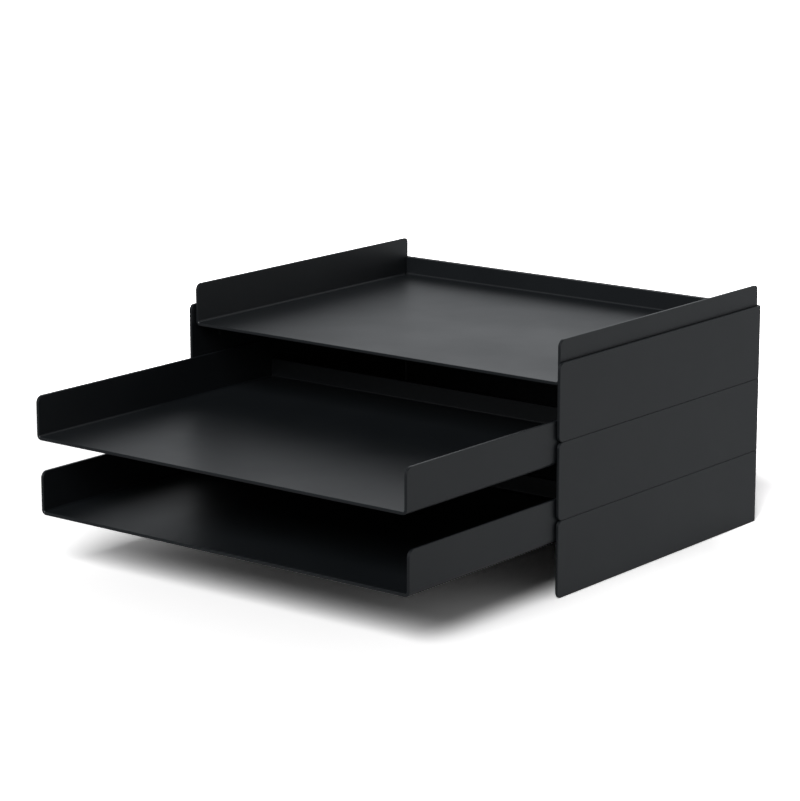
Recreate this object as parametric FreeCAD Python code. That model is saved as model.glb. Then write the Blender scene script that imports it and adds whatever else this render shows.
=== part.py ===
import FreeCAD, Part
import math
import os

# A stack of three letter trays in folded and painted sheet steel, drawn as it stands in use:
# the upper tray is pushed home and the two below it are drawn out.
# X runs from left to right, Y from front to back and Z up. The origin is on the table, midway between
# the front of the furthest drawn tray and the back of the housings. Lengths are in millimetres.

# Housing: one sheet folded round the left side, the back and the right side of a tier
housing_width = 330.0
housing_depth = 255.0
tier_height = 54.0
housing_corner = 4.5

# Sheet, folds and softened edges, shared by housings and trays
steel_gauge = 2.0
paint_film = 0.1
fold_radius = 1.5
edge_bevel = 0.4

# Tray: a floor, two tall side walls and a low back wall, open at the front
tray_side_gap = 0.6
tray_rear_gap = 0.3
tray_setback = 4.0
tray_drop = 16.0
tray_wall_rise = 15.0
tray_back_rise = 0.0
tray_front_corner = 5.0
tray_rear_corner = 3.0
tray_seam = 0.25
relief_radius = 1.2

# How far each tray is drawn out at rest
lower_tray_drawn = 162.4
middle_tray_drawn = 165.0
upper_tray_drawn = 0.0

# Runner: an angle welded inside each side of a housing, with a stop lip bent down at its front end
runner_gauge = 1.5
runner_fold = 1.0
runner_width = 14.0
runner_narrow_width = 9.0
runner_leg = 10.0
runner_setback = 30.0
runner_rear_gap = 4.0
stop_lip_reach = 3.5
stop_lip_drop = 4.5
stop_lip_width = 5.0
stop_clearance = 0.3

# Keeper: a folded clip welded under the back of a tray, which hooks below the runner,
# so that a drawn tray can neither tip nor be pulled right out
keeper_gauge = 1.2
keeper_fold = 0.4
keeper_length = 40.0
keeper_from_rear = 10.0
keeper_play = 0.5
keeper_side_gap = 0.6
keeper_hook = 4.8
keeper_foot = 10.0
drop_in_gap = 4.0

# Glide: a nylon strip along the top of a runner, on which the tray slides
glide_thickness = 0.8
glide_width = 5.0
glide_inset = 3.0
glide_bevel = 0.3
glide_end_margin = 3.0

# Values that follow from the ones above
tiers = ("lower", "middle", "upper")
drawn = {"lower": lower_tray_drawn, "middle": middle_tray_drawn, "upper": upper_tray_drawn}
sheet = steel_gauge + 2 * paint_film
fold_outside = fold_radius + sheet
plate_inner = housing_width / 2 - sheet
front_y = (max(drawn.values()) - tray_setback - housing_depth) / 2
rear_y = front_y + housing_depth
tray_half = plate_inner - tray_side_gap
tray_length = housing_depth - sheet - tray_rear_gap - tray_setback
tray_front_y = front_y + tray_setback
tray_rear_y = tray_front_y + tray_length
tray_inner = tray_half - sheet
runner_edge = plate_inner - runner_width
narrow_edge = plate_inner - runner_narrow_width
runner_front_y = front_y + runner_setback
runner_rear_y = rear_y - sheet - runner_rear_gap
keeper_face = runner_edge - keeper_side_gap
keeper_rear_y = tray_rear_y - keeper_from_rear
keeper_front_y = keeper_rear_y - keeper_length
stop_y = runner_front_y - stop_lip_reach + runner_gauge
full_draw = keeper_front_y - stop_y - stop_clearance
left, right = -1, 1


def vector(x, y, z):
    return FreeCAD.Vector(x, y, z)


def in_plan(u, v):
    """Place a 2D point of a profile that is drawn from above."""
    return vector(u, v, 0)


def in_front_view(u, v):
    """Place a 2D point of a profile that is drawn from the front."""
    return vector(u, 0, v)


def in_side_view(u, v):
    """Place a 2D point of a profile that is drawn from the side."""
    return vector(0, u, v)


def along(start, towards, distance):
    """The 2D point at a distance from start, on the way towards another point."""
    share = distance / math.dist(start, towards)
    return (start[0] + (towards[0] - start[0]) * share, start[1] + (towards[1] - start[1]) * share)


def is_arc(step):
    """A step of a run is either a point, for a straight edge, or an arc's middle and end."""
    return isinstance(step[0], tuple)


def end_of(step):
    return step[1] if is_arc(step) else step


def edges_of(run, place):
    """The edges of a run of steps. A fold that starts where the sheet does has no flat before it."""
    edges = []
    here = run[0]
    for step in run[1:]:
        end = end_of(step)
        if is_arc(step):
            edges.append(Part.Arc(place(*here), place(*step[0]), place(*end)).toShape())
        elif math.dist(here, end) > 1e-6:
            edges.append(Part.LineSegment(place(*here), place(*end)).toShape())
        here = end
    return edges


def backwards(run):
    """The same run, walked from its other end."""
    back = [end_of(run[-1])]
    for index in range(len(run) - 1, 0, -1):
        before = end_of(run[index - 1])
        back.append((run[index][0], before) if is_arc(run[index]) else before)
    return back


def fold_steps(before, corner, after, offset, middle_radius):
    """Start of a fold and its arc, on the side of the sheet at an offset to the left of its middle."""
    heading = math.atan2(corner[1] - before[1], corner[0] - before[0])
    turn = math.remainder(math.atan2(after[1] - corner[1], after[0] - corner[0]) - heading, math.tau)
    side = math.copysign(1, turn)
    start = along(corner, before, middle_radius * math.tan(abs(turn) / 2))
    centre_u = start[0] - side * middle_radius * math.sin(heading)
    centre_v = start[1] + side * middle_radius * math.cos(heading)
    radius = middle_radius - side * offset
    points = []
    for share in (0, 0.5, 1):
        angle = heading + turn * share - side * math.pi / 2
        points.append((centre_u + radius * math.cos(angle), centre_v + radius * math.sin(angle)))
    return [points[0], (points[1], points[2])]


def end_point(end, start, finish, offset):
    """A free end of the sheet, moved to the left of the way from start to finish."""
    length = math.dist(start, finish)
    return (
        end[0] - (finish[1] - start[1]) / length * offset,
        end[1] + (finish[0] - start[0]) / length * offset,
    )


def sheet_side(path, offset, middle_radius):
    """One face of a folded sheet, as a run beside the path through the middle of its thickness."""
    run = [end_point(path[0], path[0], path[1], offset)]
    for before, corner, after in zip(path, path[1:], path[2:]):
        run += fold_steps(before, corner, after, offset, middle_radius)
    run.append(end_point(path[-1], path[-2], path[-1], offset))
    return run


def folded_section(path, gauge, inside_radius, place):
    """The section of a folded sheet, from the path through the middle of its thickness."""
    middle_radius = inside_radius + gauge / 2
    one_side = sheet_side(path, gauge / 2, middle_radius)
    other_side = backwards(sheet_side(path, -gauge / 2, middle_radius))
    edges = edges_of(one_side, place)
    edges += edges_of([end_of(one_side[-1]), other_side[0]], place)
    edges += edges_of(other_side, place)
    edges += edges_of([end_of(other_side[-1]), one_side[0]], place)
    return Part.Face(Part.Wire(edges))


def side_outline(y_low, y_high, z_low, z_high, radii):
    """A block right across the stack, with its own corner radius at front bottom, rear bottom,
    rear top and front top."""
    corners = [(y_low, z_low), (y_high, z_low), (y_high, z_high), (y_low, z_high)]
    run = []
    for index, corner in enumerate(corners):
        if radii[index] == 0:
            run.append(corner)
            continue
        start = along(corner, corners[index - 1], radii[index])
        end = along(corner, corners[(index + 1) % len(corners)], radii[index])
        centre = (start[0] + end[0] - corner[0], start[1] + end[1] - corner[1])
        run += [start, (along(centre, corner, radii[index]), end)]
    run.append(run[0])
    face = Part.Face(Part.Wire(edges_of(run, in_side_view)))
    face.translate(vector(-housing_width / 2, 0, 0))
    return face.extrude(vector(housing_width, 0, 0))


def block(x_ends, y_ends, z_ends):
    """A box between two X, two Y and two Z values, in either order."""
    low = [min(ends) for ends in (x_ends, y_ends, z_ends)]
    size = [abs(ends[1] - ends[0]) for ends in (x_ends, y_ends, z_ends)]
    return Part.makeBox(size[0], size[1], size[2], vector(*low))


def looks_along(face, direction):
    """True for a flat face at right angles to a direction."""
    flat = isinstance(face.Surface, Part.Plane)
    return flat and abs(face.normalAt(0, 0).dot(direction)) > 0.999


def is_outline_corner(face):
    """True for a corner rounded across the stack, which is wider than a fold of the sheet."""
    round_face = isinstance(face.Surface, Part.Cylinder)
    return round_face and abs(face.Surface.Axis.x) > 0.999


def soften(solid, is_cut_face):
    """Take both long edges off each cut face of a sheet, as deburring and paint leave them."""
    chosen = []
    for face in filter(is_cut_face, solid.Faces):
        for edge in face.Edges:
            crosses_sheet = abs(edge.Length - sheet) < 0.01
            if not crosses_sheet and not any(edge.isSame(other) for other in chosen):
                chosen.append(edge)
    return solid.makeChamfer(edge_bevel, chosen)


def make_housing(base_z):
    """Left side, back and right side from one folded sheet, open above, below and in front."""
    side_x = housing_width / 2 - sheet / 2
    back_y = rear_y - sheet / 2
    path = [(-side_x, front_y), (-side_x, back_y), (side_x, back_y), (side_x, front_y)]
    section = folded_section(path, sheet, fold_radius, in_plan)
    section.translate(vector(0, 0, base_z))
    wrap = section.extrude(vector(0, 0, tier_height))
    radii = (housing_corner, 0, 0, housing_corner)
    wrap = wrap.common(side_outline(front_y, rear_y, base_z, base_z + tier_height, radii)).Solids[0]

    def is_cut_face(face):
        at_front = looks_along(face, vector(0, 1, 0)) and face.CenterOfMass.y < front_y + sheet
        return looks_along(face, vector(0, 0, 1)) or at_front or is_outline_corner(face)

    return soften(wrap, is_cut_face)


def make_tray_sides(floor_z, wall_top_z):
    """Floor and side walls of a tray, folded in a U that is as long as the tray."""
    side_x = tray_half - sheet / 2
    floor_middle = floor_z + sheet / 2
    path = [(-side_x, wall_top_z), (-side_x, floor_middle), (side_x, floor_middle), (side_x, wall_top_z)]
    section = folded_section(path, sheet, fold_radius, in_front_view)
    section.translate(vector(0, tray_front_y, 0))
    wrap = section.extrude(vector(0, tray_length, 0))
    radii = (0, 0, tray_rear_corner, tray_front_corner)
    wrap = wrap.common(side_outline(tray_front_y, tray_rear_y, floor_z, wall_top_z, radii)).Solids[0]

    def is_cut_face(face):
        on_top = looks_along(face, vector(0, 0, 1)) and face.CenterOfMass.z > wall_top_z - sheet
        return looks_along(face, vector(0, 1, 0)) or on_top or is_outline_corner(face)

    return soften(wrap, is_cut_face)


def make_tray_back(floor_z, back_top_z):
    """The back wall of a tray and the fold that joins it to the floor, between the side walls."""
    fold_y = tray_rear_y - fold_outside
    wall_y = tray_rear_y - sheet / 2
    floor_middle = floor_z + sheet / 2
    path = [(fold_y, floor_middle), (wall_y, floor_middle), (wall_y, back_top_z)]
    section = folded_section(path, sheet, fold_radius, in_side_view)
    half = tray_inner - tray_seam
    section.translate(vector(-half, 0, 0))
    wall = section.extrude(vector(2 * half, 0, 0)).Solids[0]

    def is_cut_face(face):
        return looks_along(face, vector(0, 0, 1)) and face.CenterOfMass.z > back_top_z - sheet / 2

    return soften(wall, is_cut_face)


def make_tray(base_z):
    """A tray folded from one blank, with a round relief where the folds meet at each rear corner."""
    rim_z = base_z + tier_height
    floor_z = rim_z - tray_drop
    sides = make_tray_sides(floor_z, rim_z + tray_wall_rise)
    fold_y = tray_rear_y - fold_outside
    fold_top_z = floor_z + fold_outside
    sides = sides.cut(block((-tray_half, tray_half), (fold_y, tray_rear_y), (floor_z, fold_top_z)))
    tray = sides.fuse(make_tray_back(floor_z, rim_z + tray_back_rise))
    for side in (left, right):
        corner = vector(side * (tray_half - fold_outside), fold_y, floor_z)
        tray = tray.cut(Part.makeCylinder(relief_radius, fold_outside, corner))
    return tray.removeSplitter()


def runner_top(base_z):
    """Top of the runners of a tier, the thickness of a glide below the underside of the tray."""
    return base_z + tier_height - tray_drop - glide_thickness


def make_runner(base_z, side):
    """An angle with its leg on the side plate. The shelf narrows at the rear, where a tray that is
    pushed home can be lowered in past it."""
    top_z = runner_top(base_z)
    shelf_z = top_z - runner_gauge / 2
    leg_x = side * (plate_inner - runner_gauge / 2)
    path = [(leg_x, top_z - runner_leg), (leg_x, shelf_z), (side * runner_edge, shelf_z)]
    section = folded_section(path, runner_gauge, runner_fold, in_front_view)
    section.translate(vector(0, runner_front_y, 0))
    runner = section.extrude(vector(0, runner_rear_y - runner_front_y, 0))
    narrow_y = keeper_front_y - drop_in_gap
    shelf_zs = (top_z - runner_gauge, top_z)
    runner = runner.cut(block((side * runner_edge, side * narrow_edge), (narrow_y, runner_rear_y), shelf_zs))
    return runner.fuse(make_stop_lip(top_z, side)).removeSplitter()


def make_stop_lip(top_z, side):
    """The tongue at the front of a runner's shelf, bent down to meet the keeper."""
    shelf_z = top_z - runner_gauge / 2
    lip_y = runner_front_y - stop_lip_reach + runner_gauge / 2
    path = [(runner_front_y, shelf_z), (lip_y, shelf_z), (lip_y, top_z - stop_lip_drop)]
    section = folded_section(path, runner_gauge, runner_fold, in_side_view)
    section.translate(vector(side * runner_edge, 0, 0))
    return section.extrude(vector(side * stop_lip_width, 0, 0))


def make_keeper(base_z, side):
    """A Z-shaped clip: foot on the underside of the tray, web past the runner, hook below its shelf."""
    floor_z = base_z + tier_height - tray_drop
    foot_z = floor_z - keeper_gauge / 2
    hook_z = runner_top(base_z) - runner_gauge - keeper_play - keeper_gauge / 2
    web_x = keeper_face - keeper_gauge / 2
    path = [
        (side * (keeper_face - keeper_foot), foot_z),
        (side * web_x, foot_z),
        (side * web_x, hook_z),
        (side * (keeper_face + keeper_hook), hook_z),
    ]
    section = folded_section(path, keeper_gauge, keeper_fold, in_front_view)
    section.translate(vector(0, keeper_front_y, 0))
    return section.extrude(vector(0, keeper_length, 0))


def make_glide(base_z, side):
    """A flat strip along a runner, bevelled all round its top, which the underside of the tray rests on."""
    low_z = runner_top(base_z)
    outer_x = side * (plate_inner - glide_inset)
    inner_x = outer_x - side * glide_width
    y_ends = (runner_front_y + glide_end_margin, runner_rear_y - glide_end_margin)
    strip = block((outer_x, inner_x), y_ends, (low_z, low_z + glide_thickness))
    top = max(strip.Faces, key=lambda face: face.CenterOfMass.z)
    return strip.makeChamfer(glide_bevel, top.Edges)


def make_tier(tier, base_z):
    """Every piece of one tier by name, with the tray and its keepers drawn out as they rest."""
    pieces = {
        "housing": make_housing(base_z),
        "runner_left": make_runner(base_z, left),
        "runner_right": make_runner(base_z, right),
        "glide_left": make_glide(base_z, left),
        "glide_right": make_glide(base_z, right),
        "tray": make_tray(base_z),
        "keeper_left": make_keeper(base_z, left),
        "keeper_right": make_keeper(base_z, right),
    }
    for name in ("tray", "keeper_left", "keeper_right"):
        pieces[name].translate(vector(0, -drawn[tier], 0))
    return pieces


os.makedirs("parts", exist_ok=True)
for level, tier in enumerate(tiers):
    for name, shape in make_tier(tier, level * tier_height).items():
        shape.exportStep("parts/" + tier + "_" + name + ".step")
    print(tier, "tray slides", round(-drawn[tier], 2), "to", round(full_draw - drawn[tier], 2), "from rest")
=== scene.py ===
import math

import bpy
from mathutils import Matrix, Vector

# Looks of a stack of three letter trays in black powder-coated sheet steel, in metres.

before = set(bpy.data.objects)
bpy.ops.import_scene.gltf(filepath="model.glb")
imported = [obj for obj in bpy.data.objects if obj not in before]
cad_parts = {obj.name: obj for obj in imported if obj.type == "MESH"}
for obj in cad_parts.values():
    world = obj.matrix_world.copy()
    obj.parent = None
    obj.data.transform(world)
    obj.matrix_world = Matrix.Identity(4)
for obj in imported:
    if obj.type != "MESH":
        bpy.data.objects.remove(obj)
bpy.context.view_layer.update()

tiers = ("lower", "middle", "upper")
steel_pieces = ("housing", "runner_left", "runner_right", "tray", "keeper_left", "keeper_right")
nylon_pieces = ("glide_left", "glide_right")

# Camera: where it stands, how it is turned and its lens, fitted to the photograph's edges
camera_place = Vector((1.2600, -1.6113, 0.5789))
camera_azimuth = math.radians(38.17)
camera_pitch = math.radians(13.04)
sensor_width = 36.0
picture_width = 800
focal_pixels = 2950.9

# Powder coat
coat_colour = (0.0056, 0.0067, 0.0078, 1.0)
coat_variation = 1.25
coat_grain = 0.00035
coat_roughness = 0.41

# Nylon
nylon_dark = (0.012, 0.012, 0.012, 1.0)
nylon_light = (0.018, 0.018, 0.018, 1.0)

# Floor and light
floor_height = 0.0
floor_size = 16.0
floor_front = (1.62, 1.56, 1.51, 1.0)
# painted light: the floor the camera sees is painted brighter towards the rear, which washes out the object's
# shadow behind it
floor_rear_painted_light = (3.55, 3.4, 3.3, 1.0)
floor_painted_light_stretch = (0.12, 0.27)
# painted shade: the floor the coat reflects is painted darker towards the front, lighter towards the rear
floor_grey_front_painted_shade = (0.25, 0.25, 0.25, 1.0)
floor_grey_rear = (0.6, 0.6, 0.6, 1.0)
floor_grey_painted_shade_stretch = (-0.35, 0.05)
light_tint = (0.965, 1.0, 1.035, 1.0)
backdrop_front = 0.3
backdrop_rear = 0.66
backdrop_azimuth = math.radians(-40)
backdrop_top = math.sin(math.radians(60))
softbox_level = 0.49
softbox_azimuth = math.radians(30)
softbox_elevation = math.radians(28)
softbox_falloff = 3.0
key_strength = 2.55
key_width = math.radians(34)
key_azimuth = math.radians(11)
key_elevation = math.radians(42)


def make_camera():
    """The camera at the photograph's angle."""
    data = bpy.data.cameras.new("camera")
    data.sensor_width = sensor_width
    data.lens = focal_pixels / picture_width * sensor_width
    data.clip_end = 50
    camera = bpy.data.objects.new("camera", data)
    bpy.context.scene.collection.objects.link(camera)
    camera.location = camera_place
    camera.rotation_euler = (math.pi / 2 - camera_pitch, 0, camera_azimuth)
    bpy.context.scene.camera = camera


def adder(tree):
    """A function that adds a node to a tree. An input is a number, a colour or another node's output."""
    def add(kind, inputs=None, **settings):
        node = tree.nodes.new(kind)
        for key, value in settings.items():
            setattr(node, key, value)
        for key, value in (inputs or {}).items():
            if isinstance(value, bpy.types.NodeSocket):
                tree.links.new(value, node.inputs[key])
            else:
                node.inputs[key].default_value = value
        return node

    return add


def mix_colours(add, factor, first, second):
    """The output of a node that mixes two colours, each a value or another node's output."""
    mix = add("ShaderNodeMix", {"Factor": factor}, data_type="RGBA")
    tree = mix.id_data
    for key, colour in (("A", first), ("B", second)):
        socket = next(s for s in mix.inputs if s.name == key and s.type == "RGBA")
        if isinstance(colour, bpy.types.NodeSocket):
            tree.links.new(colour, socket)
        else:
            socket.default_value = colour
    return next(s for s in mix.outputs if s.type == "RGBA")


def new_material(name):
    """An empty node material and a function that adds nodes to it."""
    material = bpy.data.materials.new(name)
    material.use_nodes = True
    material.node_tree.nodes.clear()
    return material, adder(material.node_tree)


def powder_coat():
    """Satin black powder coat: a fine orange peel, with a little life in its colour and gloss."""
    material, add = new_material("powder_coat")
    place = add("ShaderNodeTexCoord").outputs["Object"]
    grain = add("ShaderNodeTexNoise", {"Vector": place, "Scale": 1 / coat_grain, "Detail": 2.0})
    cloud = add("ShaderNodeTexNoise", {"Vector": place, "Scale": 18.0, "Detail": 3.0})
    lighter = tuple(c * coat_variation for c in coat_colour[:3]) + (1.0,)
    rough = add("ShaderNodeMapRange", {"Value": cloud.outputs["Fac"], "From Min": 0.3, "From Max": 0.7,
                                       "To Min": coat_roughness - 0.02, "To Max": coat_roughness + 0.03})
    bump = add("ShaderNodeBump", {"Height": grain.outputs["Fac"], "Strength": 0.25, "Distance": 0.00006})
    shader = add("ShaderNodeBsdfPrincipled", {
        "Base Color": mix_colours(add, cloud.outputs["Fac"], coat_colour, lighter),
        "Roughness": rough.outputs["Result"],
        "Normal": bump.outputs["Normal"],
    })
    add("ShaderNodeOutputMaterial", {"Surface": shader.outputs["BSDF"]})
    return material


def nylon():
    """Plain black moulded nylon."""
    material, add = new_material("nylon")
    place = add("ShaderNodeTexCoord").outputs["Object"]
    cloud = add("ShaderNodeTexNoise", {"Vector": place, "Scale": 400.0, "Detail": 3.0})
    bump = add("ShaderNodeBump", {"Height": cloud.outputs["Fac"], "Strength": 0.2, "Distance": 0.0001})
    shader = add("ShaderNodeBsdfPrincipled", {
        "Base Color": mix_colours(add, cloud.outputs["Fac"], nylon_dark, nylon_light),
        "Roughness": 0.5,
        "Normal": bump.outputs["Normal"],
    })
    add("ShaderNodeOutputMaterial", {"Surface": shader.outputs["BSDF"]})
    return material


def painted_brightening(add, depth, stretch, front, rear):
    """The colour of a floor that goes smoothly from one colour to another along a stretch of its depth, painted
    brighter towards the rear.
    """
    share = add("ShaderNodeMapRange", {"Value": depth, "From Min": stretch[0], "From Max": stretch[1]},
                interpolation_type="SMOOTHSTEP")
    return mix_colours(add, share.outputs["Result"], front, rear)


def towards(add, direction, azimuth, elevation):
    """How far a direction points towards a place in the world, from -1 to 1."""
    dot = add("ShaderNodeVectorMath", {0: direction}, operation="DOT_PRODUCT")
    across = math.cos(elevation)
    dot.inputs[1].default_value = (-math.sin(azimuth) * across, math.cos(azimuth) * across, math.sin(elevation))
    return dot.outputs["Value"]


def floor_material():
    """White floor that keeps the object's shadow, with painted light that makes it brighter towards the rear
    and washes out the shadow there.
    Only the camera sees it as white: in the coat's sheen it is grey, with painted shade that makes it darker
    towards the front."""
    material, add = new_material("floor")
    depth = add("ShaderNodeSeparateXYZ", {"Vector": add("ShaderNodeTexCoord").outputs["Object"]}).outputs["Y"]
    # painted light: the floor the camera sees gets brighter towards the rear
    white = painted_brightening(add, depth, floor_painted_light_stretch, floor_front, floor_rear_painted_light)
    # painted shade: the floor in the coat's reflections gets darker towards the front
    grey = painted_brightening(add, depth, floor_grey_painted_shade_stretch, floor_grey_front_painted_shade, floor_grey_rear)
    seen = add("ShaderNodeLightPath").outputs["Is Camera Ray"]
    shader = add("ShaderNodeBsdfDiffuse", {"Color": mix_colours(add, seen, grey, white)})
    add("ShaderNodeOutputMaterial", {"Surface": shader.outputs["BSDF"]})
    return material


def make_floor():
    mesh = bpy.data.meshes.new("floor")
    half = floor_size / 2
    corners = [(-half, -half, 0), (half, -half, 0), (half, half, 0), (-half, half, 0)]
    mesh.from_pydata(corners, [], [(0, 1, 2, 3)])
    floor = bpy.data.objects.new("floor", mesh)
    floor.location.z = floor_height
    bpy.context.scene.collection.objects.link(floor)
    mesh.materials.append(floor_material())


def make_world():
    """A pale backdrop all round, which dims towards the ceiling, and a wide soft light behind on the left.
    The camera would see it all as white."""
    world = bpy.data.worlds.new("world")
    bpy.context.scene.world = world
    world.use_nodes = True
    tree = world.node_tree
    add = adder(tree)
    direction = add("ShaderNodeTexCoord").outputs["Generated"]
    height = add("ShaderNodeSeparateXYZ", {"Vector": direction}).outputs["Z"]
    rear = towards(add, direction, backdrop_azimuth, 0.0)
    wall = add("ShaderNodeMapRange", {"Value": rear, "From Min": -1.0, "To Min": backdrop_front,
                                      "To Max": backdrop_rear})
    backdrop = add("ShaderNodeMapRange", {"Value": height, "From Max": backdrop_top,
                                          "To Min": wall.outputs["Result"], "To Max": 0.0})
    facing = add("ShaderNodeMath", {0: towards(add, direction, softbox_azimuth, softbox_elevation), 1: 0.0},
                 operation="MAXIMUM")
    spread = add("ShaderNodeMath", {0: facing.outputs["Value"], 1: softbox_falloff}, operation="POWER")
    softbox = add("ShaderNodeMath", {0: spread.outputs["Value"], 1: softbox_level}, operation="MULTIPLY")
    level = add("ShaderNodeMath", {0: backdrop.outputs["Result"], 1: softbox.outputs["Value"]}, operation="ADD")
    seen = add("ShaderNodeLightPath").outputs["Is Camera Ray"]
    strength = add("ShaderNodeMix", {"Factor": seen, "A": level.outputs["Value"], "B": 1.0})
    background = tree.nodes["Background"]
    tree.links.new(mix_colours(add, seen, light_tint, (1.0, 1.0, 1.0, 1.0)), background.inputs["Color"])
    tree.links.new(strength.outputs["Result"], background.inputs["Strength"])


def make_key():
    """One wide soft light from above the front."""
    data = bpy.data.lights.new("key", "SUN")
    data.energy = key_strength
    data.color = light_tint[:3]
    data.angle = key_width
    light = bpy.data.objects.new("key", data)
    bpy.context.scene.collection.objects.link(light)
    light.rotation_euler = (math.pi / 2 - key_elevation, 0, key_azimuth)


coat = powder_coat()
black_nylon = nylon()
for tier in tiers:
    for piece in steel_pieces:
        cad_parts[f"{tier}_{piece}"].data.materials.clear()
        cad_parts[f"{tier}_{piece}"].data.materials.append(coat)
    for piece in nylon_pieces:
        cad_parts[f"{tier}_{piece}"].data.materials.clear()
        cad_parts[f"{tier}_{piece}"].data.materials.append(black_nylon)

make_camera()
make_floor()
make_world()
make_key()

bpy.context.scene.view_settings.view_transform = "Standard"
